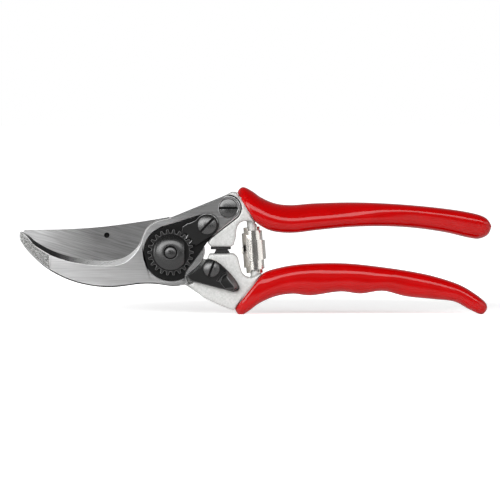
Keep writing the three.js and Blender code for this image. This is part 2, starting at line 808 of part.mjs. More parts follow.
const grip = (lines) => cut(ladder(lines, SLEEVE), ladder(lines, HOLLOW));
const tang = (lines) => ladder(lines, TANG);

// ---------- forgings ----------
// Outline of each forging's body up to the grip, seen from the front.
const UPPER_BODY = {
  lug: [
    [16.9, 5.2],
    [17.0, 4.0],
    [18.4, 2.5],
    [27.4, 2.5],
    [28.7, 3.3],
  ],
  pocket: [
    [29.7, 6.6],
    [30.1, 10.6],
    [31.4, 13.2],
    [33.8, 14.2],
    [36.4, 14.0],
  ],
  front: [
    [38.6, 13.4],
    [30.0, 27.3],
  ],
  top: [
    [27.8, 27.5],
    [25.4, 26.1],
    [9.2, 18.8],
  ],
};
const LOWER_BODY = {
  belly: [
    [15.1, -20.8],
    [22.4, -24.2],
    [28.7, -26.6],
  ],
  front: [[41.8, -9.7]],
  pocket: [
    [40.2, -9.9],
    [37.6, -11.2],
    [34.8, -11.2],
    [32.7, -9.6],
    [31.5, -6.0],
    [30.6, -2.4],
  ],
  lug: [
    [28.8, -0.6],
    [17.6, -0.7],
  ],
};

function upperBodyOutline() {
  const { lug, pocket, front, top } = UPPER_BODY;
  return [
    ...arcPoints(UPPER_ARC_R, 62, 16, 12),
    ...points2(lug),
    ...smooth(pocket, 12),
    ...points2(front),
    ...points2(top),
  ];
}

function lowerBodyOutline() {
  const { belly, front, pocket, lug } = LOWER_BODY;
  return [
    ...arcPoints(LOWER_ARC_R, -9, -62, 12),
    ...points2(belly),
    ...points2(front),
    ...smooth(pocket, 14),
    ...points2(lug),
  ];
}

// Where the lower forging's eye runs into its body, behind the blade.
const EYE_ROOT = [
  [6.9, -15.3],
  [15.1, -20.8],
  [24, -12],
  polar(LOWER_ARC_R, -12),
];
const BODY_ROUND = 1.0; // rounding of both forgings' edges
const SEAT_GAP = 0.25; // between the counter blade and its seat in the upper forging

// The pin that the spring's end sits on, from the floor of the pocket.
function springStud(from, towards) {
  const start = new THREE.Vector3(...from, GRIP_CENTRE_Z);
  const along = new THREE.Vector3(...towards, GRIP_CENTRE_Z).sub(start).normalize();
  const sunk = start.clone().addScaledVector(along, -4);
  const end = start.clone().addScaledVector(along, STUD_LENGTH);
  const geometry = new THREE.CylinderGeometry(STUD_R, STUD_R, sunk.distanceTo(end), 20);
  geometry.applyQuaternion(new THREE.Quaternion().setFromUnitVectors(new THREE.Vector3(0, 1, 0), along));
  return solidOf(geometry.translate(...sunk.add(end).multiplyScalar(0.5).toArray()));
}

function upperHandle() {
  const solidBody = roundedPlate(upperBodyOutline(), BODY_BACK, BODY_FRONT, BODY_ROUND);
  const body = cut(join(solidBody, springStud(SPRING_TOP, SPRING_BOTTOM)), ladder(UPPER_GRIP, AROUND));
  const { edge, rest } = counterBladeLoop();
  const seat = levelledPlate([...edge, ...rest], [
    [BLADE_FRONT, () => -SEAT_GAP],
    [PLATE_FRONT + 2, () => -SEAT_GAP],
  ]);
  return cut(
    join(body, tang(UPPER_GRIP)),
    seat,
    padStem(STEM_GAP, STEM_GAP),
    sleeveRoom(BLADE_SCREW),
    sleeveRoom(SEGMENT_SCREW),
  );
}

function lowerHandle() {
  const eye = new THREE.Shape([...arcPoints(EYE_R, -12, 272, 56), ...points2(EYE_ROOT)]);
  const solidBody = roundedPlate(lowerBodyOutline(), BODY_BACK, BODY_FRONT, BODY_ROUND);
  const body = cut(join(solidBody, springStud(SPRING_BOTTOM, SPRING_TOP)), ladder(LOWER_GRIP, AROUND));
  return cut(
    join(body, plate(eye, BODY_BACK, HEAD_FRONT), tang(LOWER_GRIP)),
    bladeKey(GAP),
    disc([0, 0], BUSH_R + SNUG_GAP, BODY_BACK - 1, HEAD_FRONT + 1, 40),
    disc(CATCH_SCREW, SHANK_BORE_R, CATCH_SCREW_END - 0.4, BODY_FRONT + 1),
    bumperStem(STEM_GAP, STEM_GAP),
  );
}

// ---------- rubber stops between the lugs ----------
// Each has a square stem that sits in a hole of its forging.
const STOP_X = 23.0;
const STOP_Z = -2.5;
const STOP_DEPTH = 9;
const PAD_SIZE = [9.2, 1.1, STOP_DEPTH];
const PAD_AT = [STOP_X - 0.2, 1.8, STOP_Z];
const STEM_DEPTH = 5;
const STEM_GAP = 0.12;
const PAD_STEM = { x: STOP_X, width: 5, from: 2.1, length: 3 };
const BUMPER_STEM = { x: STOP_X + 0.3, width: 4.4, from: -0.4, length: 4 };
const BUMPER_SIDE = [
  [19.8, -0.45],
  [27.0, -0.35],
  [25.9, 1.1],
  [20.6, 1.1],
];

// A stem, going up for way = 1 and down for way = -1.
function stem({ x, width, from, length }, way, wider, longer) {
  const middle = from + (way * (length + longer)) / 2;
  return block([x, middle, STOP_Z], [width + 2 * wider, length + longer, STEM_DEPTH + 2 * wider]);
}

const padStem = (wider = 0, longer = 0) => stem(PAD_STEM, 1, wider, longer);
const bumperStem = (wider = 0, longer = 0) => stem(BUMPER_STEM, -1, wider, longer);

const stopPad = () => join(block(PAD_AT, PAD_SIZE), padStem());

function bumper() {
  const side = new THREE.Shape(points2(BUMPER_SIDE));
  return join(plate(side, STOP_Z - STOP_DEPTH / 2, STOP_Z + STOP_DEPTH / 2), bumperStem());
}

// ---------- volute spring ----------
// Closed, its turns telescope into a stepped barrel. It is hollow, so that the studs go inside.
const SPRING_BORE_R = 2.9;
const SPRING_END_GAP = 0.3; // between each end and the floor of its pocket
const SPRING_END_R = 3.9;
const SPRING_STEPS = [
  [3.9, 8.6],
  [4.7, 8.6],
  [4.7, 5.4],
  [5.4, 5.4],
]; // radius, and distance from the middle

function voluteSpring() {
  const top = new THREE.Vector2(...SPRING_TOP);
  const bottom = new THREE.Vector2(...SPRING_BOTTOM);
  const half = top.distanceTo(bottom) / 2 - SPRING_END_GAP;
  const profile = [
    [SPRING_BORE_R, -half],
    [SPRING_END_R, -half],
    ...SPRING_STEPS.map(([radius, reach]) => [radius, -reach]),
    ...SPRING_STEPS.map(([radius, reach]) => [radius, reach]).reverse(),
    [SPRING_END_R, half],
    [SPRING_BORE_R, half],
    [SPRING_BORE_R, -half],
  ];
  const geometry = new THREE.LatheGeometry(points2(profile), 28);
  geometry.rotateZ(Math.atan2(bottom.x - top.x, top.y - bottom.y));
  const middle = top.add(bottom).multiplyScalar(0.5);
  return solidOf(geometry.translate(middle.x, middle.y, GRIP_CENTRE_Z));
}

// ---------- assembly ----------
const FINISHES = {
  ground_steel: { color: 0xa3a3a1, roughness: 0.35, metalness: 1 },
  blade_steel: { color: 0x828280, roughness: 0.38, metalness: 1 },
  black_steel: { color: 0x2c2c2e, roughness: 0.45, metalness: 0.8 },
  forged_aluminium: { color: 0xc9cac8, roughness: 0.5, metalness: 1 },
  red_vinyl: { color: 0xc40d12, roughness: 0.22, metalness: 0 },
  nickel_steel: { color: 0xc2bcb0, roughness: 0.25, metalness: 1 },
  rubber: { color: 0x161616, roughness: 0.7, metalness: 0 },
};
const materials = {};
for (const [name, finish] of Object.entries(FINISHES)) {
  materials[name] = new THREE.MeshStandardMaterial({ name, ...finish });
}

const PIECES = [
  ["cutting_blade", "blade_steel", cuttingBlade],
  ["counter_blade", "ground_steel", counterBlade],
  ["upper_handle", "forged_aluminium", upperHandle],
  ["lower_handle", "forged_aluminium", lowerHandle],
  ["upper_grip", "red_vinyl", () => grip(UPPER_GRIP)],
  ["lower_grip", "red_vinyl", () => grip(LOWER_GRIP)],
  ["pivot_bolt", "black_steel", pivotBolt],
  ["pivot_bush", "nickel_steel", pivotBush],
  ["bolt_washer", "nickel_steel", boltWasher],
  ["thrust_plate", "black_steel", thrustPlate],
  ["adjusting_nut", "black_steel", adjustingNut],
  ["toothed_segment", "black_steel", toothedSegment],
  ["segment_screw", "black_steel", segmentScrew],
  ["segment_sleeve_nut", "nickel_steel", () => sleeveNut(SEGMENT_SCREW)],
  ["counter_blade_screw", "black_steel", bladeScrew],
  ["counter_blade_sleeve_nut", "nickel_steel", () => sleeveNut(BLADE_SCREW)],
  ["thumb_catch", "black_steel", thumbCatch],
  ["catch_screw", "black_steel", catchScrew],
  ["catch_spring_washer", "nickel_steel", catchWasher],
  ["volute_spring", "nickel_steel", voluteSpring],
  ["stop_pad", "rubber", stopPad],
  ["bumper", "rubber", bumper],
];

const pruner = new THREE.Group();
for (const [name, finish, make] of PIECES) {
  const mesh = new THREE.Mesh(geometryOf(make()), materials[finish]);
  mesh.name = name;
  pruner.add(mesh);
}
// Standing on its lower handle, centred over the origin.
pruner.rotation.x = Math.PI / 2;
const extent = new THREE.Box3().setFromObject(pruner, true);
const centre = extent.getCenter(new THREE.Vector3());
pruner.position.set(-centre.x, -centre.y, -extent.min.z);

const part = new THREE.Group();
part.add(pruner);

export default part;
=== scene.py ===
"""Bypass pruner: the looks of its pieces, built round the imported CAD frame.

Lengths in the tool's own frame are in millimetres from the pivot, as in the CAD source: x runs from the
blades to the grips, y from the lower handle to the upper one, z out of the front. place() turns them into
metres.
"""

import json
import math

import bmesh
import bpy
import numpy as np
from mathutils import Matrix, Vector

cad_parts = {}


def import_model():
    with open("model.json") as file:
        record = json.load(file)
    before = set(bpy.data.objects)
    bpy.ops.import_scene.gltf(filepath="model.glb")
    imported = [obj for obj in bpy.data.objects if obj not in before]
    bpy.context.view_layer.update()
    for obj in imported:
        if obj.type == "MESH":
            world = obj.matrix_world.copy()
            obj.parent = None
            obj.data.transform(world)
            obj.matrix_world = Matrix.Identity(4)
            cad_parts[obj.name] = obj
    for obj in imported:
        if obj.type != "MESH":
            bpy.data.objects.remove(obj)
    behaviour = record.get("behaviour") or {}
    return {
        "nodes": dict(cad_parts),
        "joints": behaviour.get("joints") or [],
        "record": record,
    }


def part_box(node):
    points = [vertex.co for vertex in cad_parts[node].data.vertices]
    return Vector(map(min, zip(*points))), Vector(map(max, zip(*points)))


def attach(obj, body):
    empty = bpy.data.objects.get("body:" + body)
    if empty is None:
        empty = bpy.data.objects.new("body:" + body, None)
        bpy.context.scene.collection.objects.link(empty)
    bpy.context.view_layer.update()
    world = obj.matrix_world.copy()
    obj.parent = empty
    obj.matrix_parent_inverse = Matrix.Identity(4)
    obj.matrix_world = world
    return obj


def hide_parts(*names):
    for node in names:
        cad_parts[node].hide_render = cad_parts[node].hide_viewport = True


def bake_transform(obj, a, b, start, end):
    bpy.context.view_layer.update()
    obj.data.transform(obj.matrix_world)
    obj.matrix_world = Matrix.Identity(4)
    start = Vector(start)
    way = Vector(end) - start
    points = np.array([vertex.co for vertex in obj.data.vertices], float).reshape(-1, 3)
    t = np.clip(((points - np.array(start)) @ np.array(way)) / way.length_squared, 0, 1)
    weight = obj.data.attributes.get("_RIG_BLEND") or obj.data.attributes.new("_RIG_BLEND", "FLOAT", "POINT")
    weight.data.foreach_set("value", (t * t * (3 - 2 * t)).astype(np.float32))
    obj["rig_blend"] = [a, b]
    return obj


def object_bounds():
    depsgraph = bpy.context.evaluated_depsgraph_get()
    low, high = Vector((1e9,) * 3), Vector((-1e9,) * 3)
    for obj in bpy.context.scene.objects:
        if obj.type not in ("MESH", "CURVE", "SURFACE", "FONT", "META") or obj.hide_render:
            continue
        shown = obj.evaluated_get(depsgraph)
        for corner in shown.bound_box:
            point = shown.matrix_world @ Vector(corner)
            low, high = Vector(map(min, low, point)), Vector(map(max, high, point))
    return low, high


MM = 0.001
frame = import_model()
CAD_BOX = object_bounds()
BODY_OF = {node: body for body, nodes in frame["record"]["behaviour"]["bodies"].items() for node in nodes}
JOINTS = {joint["name"]: joint for joint in frame["joints"]}
PIVOT = Vector(JOINTS["handles_open"]["pos_m"])
BLADES_GAP = 0.05  # from the plane where the blades meet to the back of the counter blade
MEETING_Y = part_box("counter_blade")[1].y + BLADES_GAP * MM

# Row frame from the tool's own axes: x stays, y becomes Z and z becomes -Y.
TOOL = Matrix.Translation((PIVOT.x, MEETING_Y, PIVOT.z))
TOOL = TOOL @ Matrix.Rotation(math.pi / 2, 4, "X") @ Matrix.Scale(MM, 4)
TOOL_BACK = TOOL.inverted()


def place(x, y, z):
    """A point of the tool's own frame, in the row's metres."""
    return TOOL @ Vector((x, y, z))


# ---------- node helpers ----------
USUAL_NOISE = (0.3, 0.7)  # where most of a noise texture's values lie


def map_range(tree, value, source, target, smooth=False):
    """value, moved from the source range to the target range and kept inside it."""
    node = tree.nodes.new("ShaderNodeMapRange")
    if smooth:
        node.interpolation_type = "SMOOTHSTEP"
    for name, level in zip(("From Min", "From Max", "To Min", "To Max"), (*source, *target)):
        node.inputs[name].default_value = level
    tree.links.new(value, node.inputs["Value"])
    return node.outputs["Result"]


def grey_ramp(tree, value, stops):
    """A grey that follows (position, level) stops, positions from 0 to 1."""
    ramp = tree.nodes.new("ShaderNodeValToRGB")
    elements = ramp.color_ramp.elements
    while len(elements) < len(stops):
        elements.new(0.5)
    for element, (position, level) in zip(elements, stops):
        element.position = position
        element.color = (level, level, level, 1)
    tree.links.new(value, ramp.inputs["Fac"])
    return ramp.outputs["Color"]


def by_camera_rays(tree, others, seen):
    """The shader `seen` for what the camera sees directly, and `others` for all other rays."""
    choice = tree.nodes.new("ShaderNodeMixShader")
    tree.links.new(tree.nodes.new("ShaderNodeLightPath").outputs["Is Camera Ray"], choice.inputs["Fac"])
    tree.links.new(others, choice.inputs[1])
    tree.links.new(seen, choice.inputs[2])
    return choice.outputs["Shader"]


# ---------- materials ----------


def material(name, colour, metallic, roughness, **inputs):
    """A principled material. inputs are further inputs of its shader, with _ for a space."""
    made = bpy.data.materials.new(name)
    made.use_nodes = True
    shader = made.node_tree.nodes["Principled BSDF"]
    shader.inputs["Base Color"].default_value = (*colour, 1)
    shader.inputs["Metallic"].default_value = metallic
    shader.inputs["Roughness"].default_value = roughness
    for key, value in inputs.items():
        shader.inputs[key.replace("_", " ")].default_value = value
    return made


def noise(made, scale, lean=0.0, detail=3.0):
    """Noise in the piece's own space, stretched by scale (per metre) and turned by lean degrees."""
    nodes, links = made.node_tree.nodes, made.node_tree.links
    turn = nodes.new("ShaderNodeMapping")
    turn.inputs["Rotation"].default_value = (0, math.radians(lean), 0)
    stretch = nodes.new("ShaderNodeMapping")
    stretch.inputs["Scale"].default_value = scale
    texture = nodes.new("ShaderNodeTexNoise")
    texture.inputs["Scale"].default_value = 1
    texture.inputs["Detail"].default_value = detail
    links.new(nodes.new("ShaderNodeTexCoord").outputs["Object"], turn.inputs["Vector"])
    links.new(turn.outputs["Vector"], stretch.inputs["Vector"])
    links.new(stretch.outputs["Vector"], texture.inputs["Vector"])
    return texture.outputs["Fac"]


def remap(made, value, low, high):
    """A noise value, spread over low to high."""
    return map_range(made.node_tree, value, USUAL_NOISE, (low, high))


def tint(made, value, dark, light):
    """Base colour from dark to light by value."""
    mix = made.node_tree.nodes.new("ShaderNodeMix")
    mix.data_type = "RGBA"
    mix.inputs["A"].default_value = (*dark, 1)
    mix.inputs["B"].default_value = (*light, 1)
    made.node_tree.links.new(value, mix.inputs["Factor"])
    base = made.node_tree.nodes["Principled BSDF"].inputs["Base Color"]
    made.node_tree.links.new(mix.outputs["Result"], base)


def painted_reflection_along(made, stops):
    """A painted reflection: makes the base colour lighter or darker along the tool, by (x, share) stops."""
    nodes, links = made.node_tree.nodes, made.node_tree.links
    start, end = stops[0][0], stops[-1][0]
    spot = nodes.new("ShaderNodeSeparateXYZ")
    links.new(nodes.new("ShaderNodeTexCoord").outputs["Object"], spot.inputs["Vector"])
    along = map_range(made.node_tree, spot.outputs["X"], (place(start, 0, 0).x, place(end, 0, 0).x), (0, 1))
    shares = grey_ramp(made.node_tree, along, [((x - start) / (end - start), share) for x, share in stops])
    colour = nodes["Principled BSDF"].inputs["Base Color"]
    product = nodes.new("ShaderNodeMix")
    product.data_type = "RGBA"
    product.blend_type = "MULTIPLY"
    product.inputs["Factor"].default_value = 1
    links.new(colour.links[0].from_socket, product.inputs["A"])
    links.new(shares, product.inputs["B"])
    links.new(product.outputs["Result"], colour)


def vary(made, name, value, low, high):
    """One input of the shader, varied by value."""
    shader = made.node_tree.nodes["Principled BSDF"]
    made.node_tree.links.new(remap(made, value, low, high), shader.inputs[name])


def bump(made, value, depth, strength=1.0):
    """Bump of the given depth in metres."""
    node = made.node_tree.nodes.new("ShaderNodeBump")
    node.inputs["Strength"].default_value = strength
    node.inputs["Distance"].default_value = depth
    made.node_tree.links.new(value, node.inputs["Height"])
    made.node_tree.links.new(node.outputs["Normal"], made.node_tree.nodes["Principled BSDF"].inputs["Normal"])


STREAKS = (80, 500, 3400)  # of ground steel, per metre: long along the tool and fine across it


def brushed_steel(name, dark, light, roughness, lean, stops, metallic=1.0):
    """Steel ground in one direction: long fine streaks, over a painted reflection that changes slowly along
    the tool.
    """
    made = material(name, (light,) * 3, metallic, roughness, Anisotropic=0.4)
    streaks = noise(made, STREAKS, lean, detail=4)
    tint(made, remap(made, streaks, 0.0, 1.0), (dark,) * 3, (light,) * 3)
    painted_reflection_along(made, stops)
    vary(made, "Roughness", streaks, roughness - 0.05, roughness + 0.06)
    bump(made, streaks, depth=0.00003, strength=0.35)
    return made


def ground_tip():
    """The coarse grey face where the hook is ground thinner."""
    made = material("ground_tip", (0.5, 0.5, 0.5), metallic=1.0, roughness=0.5)
    grain = noise(made, (2000, 2000, 3400), lean=40, detail=5)
    tint(made, remap(made, grain, -0.5, 1.5), (0.1, 0.1, 0.1), (0.5, 0.5, 0.49))
    bump(made, grain, depth=0.0001, strength=0.6)
    return made


def blasted_alloy():
    """Light alloy with the fine bright and dark grain of shot blasting."""
    made = material("blasted_alloy", (0.8, 0.8, 0.79), metallic=0.4, roughness=0.5)
    grain = noise(made, (1300, 1300, 1300), detail=5)
    tint(made, remap(made, grain, 0, 1), (0.65, 0.66, 0.64), (0.82, 0.82, 0.81))
    bump(made, grain, depth=0.00008, strength=0.5)
    return made


def red_vinyl():
    """Glossy dipped vinyl, with faint clouds in its red and a slightly wavy skin."""
    made = material("red_vinyl", (0.6, 0.0, 0.004), metallic=0.0, roughness=0.1)
    cloud = noise(made, (110, 110, 110), detail=2)
    tint(made, remap(made, cloud, 0, 1), (0.56, 0.0, 0.0), (0.61, 0.0, 0.001))
    bump(made, noise(made, (300, 300, 300), detail=2), depth=0.00002, strength=0.08)
    return made


def steel_of_level(name, level, roughness):
    """Steel of the given level, a little uneven in level and gloss. It makes the thin grey and black coats,
    and also the painted highlights and painted shade named below.
    """
    made = material(name, (level,) * 3, 0.9, roughness)
    grain = noise(made, (4000, 4000, 4000))
    tint(made, remap(made, grain, 0, 1), (level * 0.88,) * 3, (level * 1.12,) * 3)
    vary(made, "Roughness", grain, roughness - 0.03, roughness + 0.04)
    bump(made, grain, depth=0.000005, strength=0.2)
    return made


def turned_steel(name, level, roughness):
    """Dark steel turned about the tool's front direction: its highlights are wedges towards the middle."""
    made = steel_of_level(name, level, roughness)
    around = made.node_tree.nodes.new("ShaderNodeTangent")
    around.direction_type = "RADIAL"
    around.axis = "Y"
    shader = made.node_tree.nodes["Principled BSDF"]
    shader.inputs["Anisotropic"].default_value = 0.7
    made.node_tree.links.new(around.outputs["Tangent"], shader.inputs["Tangent"])
    return made


def painted_belly_shade():
    """Near black: painted shade on the hook's lower side, which faces down."""
    made = material("painted_belly_shade", (0.03, 0.03, 0.03), metallic=0.0, roughness=0.6, Specular_IOR_Level=0.25)
    grain = noise(made, (1500, 1500, 1500))
    tint(made, remap(made, grain, 0, 1), (0.02, 0.02, 0.02), (0.045, 0.045, 0.045))
    return made


def nickel():
    """Nickel plate over rolled strip: faint bands across, uneven in gloss."""
    made = material("nickel", (0.88, 0.85, 0.80), metallic=1.0, roughness=0.16)
    rolling = noise(made, (3000, 3000, 120), detail=2)
    tint(made, remap(made, rolling, 0, 1), (0.85, 0.82, 0.77), (0.92, 0.89, 0.84))
    vary(made, "Roughness", rolling, 0.12, 0.24)
    return made


def rubber():
    """Dull black rubber with a fine grain."""
    made = material("rubber", (0.012, 0.012, 0.012), metallic=0.0, roughness=0.5)
    grain = noise(made, (1200, 1200, 1200), detail=2)
    tint(made, remap(made, grain, 0, 1), (0.009, 0.009, 0.009), (0.016, 0.016, 0.016))
    bump(made, grain, depth=0.00003, strength=0.5)
    return made


# The blade's stops paint a reflection: lightest at the tip, darkest a little before the pivot.
BLADE_STEEL = brushed_steel(
    "blade_steel", dark=0.62, light=1.0, roughness=0.36, lean=-16,
    stops=((-68, 0.94), (-50, 0.62), (-34, 0.34), (-20, 0.32), (0, 0.42), (10, 0.44)),
)
# The hook's stops paint a reflection: lightest at the tip, darker towards the grips.
HOOK_STEEL = brushed_steel(
    "hook_steel", dark=0.82, light=1.0, roughness=0.34, lean=0,
    stops=((-58, 1.0), (-38, 0.82), (-15, 0.66), (-2, 0.56), (8, 0.42), (36, 0.4)),
)
# The slope's stops paint a reflection: near black at the tip and bright from x = -30 towards the neck.
HOOK_SLOPE = brushed_steel(
    "hook_slope", dark=0.85, light=1.0, roughness=0.3, lean=25,
    stops=((-68, 0.01), (-52, 0.03), (-47, 0.15), (-38, 0.6), (-30, 0.95), (0, 0.9)), metallic=0.4,
)
GROUND_TIP = ground_tip()
ALLOY = blasted_alloy()
VINYL = red_vinyl()
GUNMETAL = turned_steel("gunmetal", level=0.1, roughness=0.24)
# Black oxide on the black pieces. The same black is painted as shade into the cutting blade's drilled hole
# and into the screw slots.
BLACK = steel_of_level("black_oxide_and_painted_shade", level=0.016, roughness=0.45)
SEGMENT_BLACK = steel_of_level("segment_black", level=0.036, roughness=0.36)
# Painted highlights on the thumb catch: along its broken edges, and on the side of its pad's ridge that faces
# right.
CATCH_EDGE_HIGHLIGHT = steel_of_level("catch_edge_highlight", level=0.15, roughness=0.3)
PAD_HIGHLIGHT = steel_of_level("pad_highlight", level=0.2, roughness=0.4)
# Painted highlights on the hook's broken edges.
HOOK_EDGE_HIGHLIGHT = steel_of_level("hook_edge_highlight", level=0.85, roughness=0.3)
TEETH_STEEL = steel_of_level("teeth_steel", level=0.06, roughness=0.3)
# Painted shade on the hook's lower side, which faces down.
BELLY_SHADE = painted_belly_shade()
# Painted highlights on the adjusting nut's broken edges.
NUT_EDGE_HIGHLIGHT = steel_of_level("nut_edge_highlight", level=0.22, roughness=0.3)
# Painted highlights on the toothed segment's upper broken edges.
SEGMENT_EDGE_HIGHLIGHT = steel_of_level("segment_edge_highlight", level=0.6, roughness=0.3)
SCREW_STEEL = turned_steel("screw_steel", level=0.14, roughness=0.26)
NICKEL = nickel()
RUBBER = rubber()


# ---------- meshes ----------


def shade(mesh, angle):
    """Smooth shading, apart from edges sharper than angle."""
    mesh.polygons.foreach_set("use_smooth", [True] * len(mesh.polygons))
    mesh.set_sharp_from_angle(angle=math.radians(angle))


def finish_piece(obj, node, look):
    """Gives a piece its material and its body, and lets it stand for a CAD node."""
    if not obj.data.materials:
        obj.data.materials.append(look)
    if "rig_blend" not in obj:
        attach(obj, BODY_OF[node])
    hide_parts(node)
    return obj


def add_object(name, mesh):
    """A new object of the scene with this mesh."""
    obj = bpy.data.objects.new(name, mesh)
    bpy.context.collection.objects.link(obj)
    return obj


def mesh_of(name, points, faces):
    """A mesh from lists of points and faces."""
    mesh = bpy.data.meshes.new(name)
    mesh.from_pydata([tuple(p) for p in points], [], faces)
    return mesh


WELD = 0.001  # millimetres
FLAT_ANGLE = 0.6  # degrees between two faces that count as one plane
# A face with more than this of its normal along the depth is a front or a back.
UNTOUCHED_NORMAL = 0.999  # keeps its CAD triangles
FLAT_NORMAL = 0.9995  # is shaded flat


def welded(node):
    """A copy of a CAD node: vertices joined, and flat sides made whole, apart from its front and back."""
    mesh = bpy.data.meshes.new(node + "_look")
    work = bmesh.new()
    work.from_mesh(frame["nodes"][node].data)
    bmesh.ops.remove_doubles(work, verts=work.verts, dist=WELD * MM)
    work.normal_update()
    edges = [
        edge for edge in work.edges if any(abs(face.normal.y) < UNTOUCHED_NORMAL for face in edge.link_faces)
    ]
    bmesh.ops.dissolve_limit(work, angle_limit=math.radians(FLAT_ANGLE), edges=edges)
    work.to_mesh(mesh)
    work.free()
    return add_object(node + "_look", mesh)


def apply_modifiers(obj):
    """Puts the result of the modifiers into the mesh."""
    evaluated = obj.evaluated_get(bpy.context.evaluated_depsgraph_get())
    mesh = bpy.data.meshes.new_from_object(evaluated)
    obj.modifiers.clear()
    obj.data = mesh


WHOLE_FACE = 20.0  # square millimetres. A larger face is plane and is shaded flat
SMOOTH_ANGLE = 35  # degrees from which an edge is sharp
BEVEL_ANGLE = 32  # degrees from which an edge is broken


def crisp(node, look, edge, highlight_look=None):
    """A machined piece: the CAD shape with its sharp edges broken by edge millimetres. A material given for
    these broken edges paints highlights on them.
    """
    obj = welded(node)
    shade(obj.data, SMOOTH_ANGLE)
    obj.data.materials.append(look)
    bevel = obj.modifiers.new("edge", "BEVEL")
    if highlight_look:
        obj.data.materials.append(highlight_look)
        bevel.material = 1
    bevel.harden_normals = True
    bevel.width = edge * MM
    bevel.segments = 2
    bevel.limit_method = "ANGLE"
    bevel.angle_limit = math.radians(BEVEL_ANGLE)
    bevel.use_clamp_overlap = False
    apply_modifiers(obj)
    for face in obj.data.polygons:
        face.use_smooth = abs(face.normal.y) < FLAT_NORMAL and face.area < WHOLE_FACE * MM * MM
    return finish_piece(obj, node, look)


def keep_largest(mesh):
    """Drops the tiny loose bits that a remesh can leave beside the piece."""
    work = bmesh.new()
    work.from_mesh(mesh)
    parts = []
    left = set(work.verts)
    while left:
        part = set()
        newest = {left.pop()}
        while newest:
            part |= newest
            newest = {edge.other_vert(vert) for vert in newest for edge in vert.link_edges} - part
        left -= part
        parts.append(part)
    parts.sort(key=len)
    bmesh.ops.delete(work, geom=[vert for part in parts[:-1] for vert in part])
    work.to_mesh(mesh)
    work.free()


def soft(node, look, voxel, rounds):
    """A cast piece: the CAD shape remeshed and smoothed, so that every edge is round."""
    obj = welded(node)
    remesh = obj.modifiers.new("remesh", "REMESH")
    remesh.mode = "VOXEL"
    remesh.voxel_size = voxel * MM
    smooth = obj.modifiers.new("smooth", "SMOOTH")
    smooth.factor = 0.5
    smooth.iterations = rounds
    apply_modifiers(obj)
    keep_largest(obj.data)
    shade(obj.data, 180)
    return finish_piece(obj, node, look)


def paint(obj, look, chosen):
    """Another material for the faces for which chosen(centre, normal), in the tool's own frame, is true."""
    obj.data.materials.append(look)
    turn = TOOL_BACK.to_3x3().normalized()
    for face in obj.data.polygons:
        if chosen(TOOL_BACK @ face.center, turn @ face.normal):
            face.material_index = len(obj.data.materials) - 1


SLOT_HALF = 0.51  # of a screw slot's width, with a little room


def slot_at(centre, degrees, floor):
    """Chooses the walls and the floor of a screw's slot through centre, in a direction given in degrees."""
    across = Vector((-math.sin(math.radians(degrees)), math.cos(math.radians(degrees))))

    def chosen(spot, normal):
        inside = abs((spot.xy - Vector(centre)).dot(across)) < SLOT_HALF
        wall = abs(normal.z) < 0.3 and abs(normal.xy.dot(across)) > 0.9
        return inside and normal.z > -0.5 and (spot.z < floor or wall)

    return chosen


SPAN_STEPS = 24  # straight steps between two points of an outline, before they are spaced evenly


def catmull_rom(points, count):
    """count + 1 points evenly spaced along the curve through a few points."""
    knots = np.array(points, float)
    ends = np.vstack([knots[0], knots, knots[-1]])
    dense = []
    for i in range(len(knots) - 1):
        a, b, c, d = ends[i : i + 4]
        for t in np.linspace(0, 1, SPAN_STEPS, endpoint=False):
            bend = (2 * a - 5 * b + 4 * c - d) * t * t + (3 * b - a - 3 * c + d) * t**3
            dense.append(0.5 * (2 * b + (c - a) * t + bend))
    dense.append(knots[-1])
    dense = np.array(dense)
    reach = np.concatenate([[0], np.cumsum(np.linalg.norm(np.diff(dense, axis=0), axis=1))])
    wanted = np.linspace(0, reach[-1], count + 1)
    return np.stack([np.interp(wanted, reach, dense[:, k]) for k in (0, 1)], axis=1)


def skin(rings):
    """Points and faces over rings of equal length, closed at both ends."""
    count = len(rings[0])
    points = [p for ring in rings for p in ring]
    faces = []
    for i in range(len(rings) - 1):
        for k in range(count):
            n = (k + 1) % count
            faces.append((i * count + k, i * count + n, (i + 1) * count + n, (i + 1) * count + k))
    faces.append(tuple(range(count - 1, -1, -1)))
    faces.append(tuple(range((len(rings) - 1) * count, len(rings) * count)))
    return points, faces


def recalculated(mesh):
    """The mesh with its faces turned outwards."""
    work = bmesh.new()
    work.from_mesh(mesh)
    bmesh.ops.recalc_face_normals(work, faces=work.faces)
    work.to_mesh(mesh)
    work.free()
    return mesh


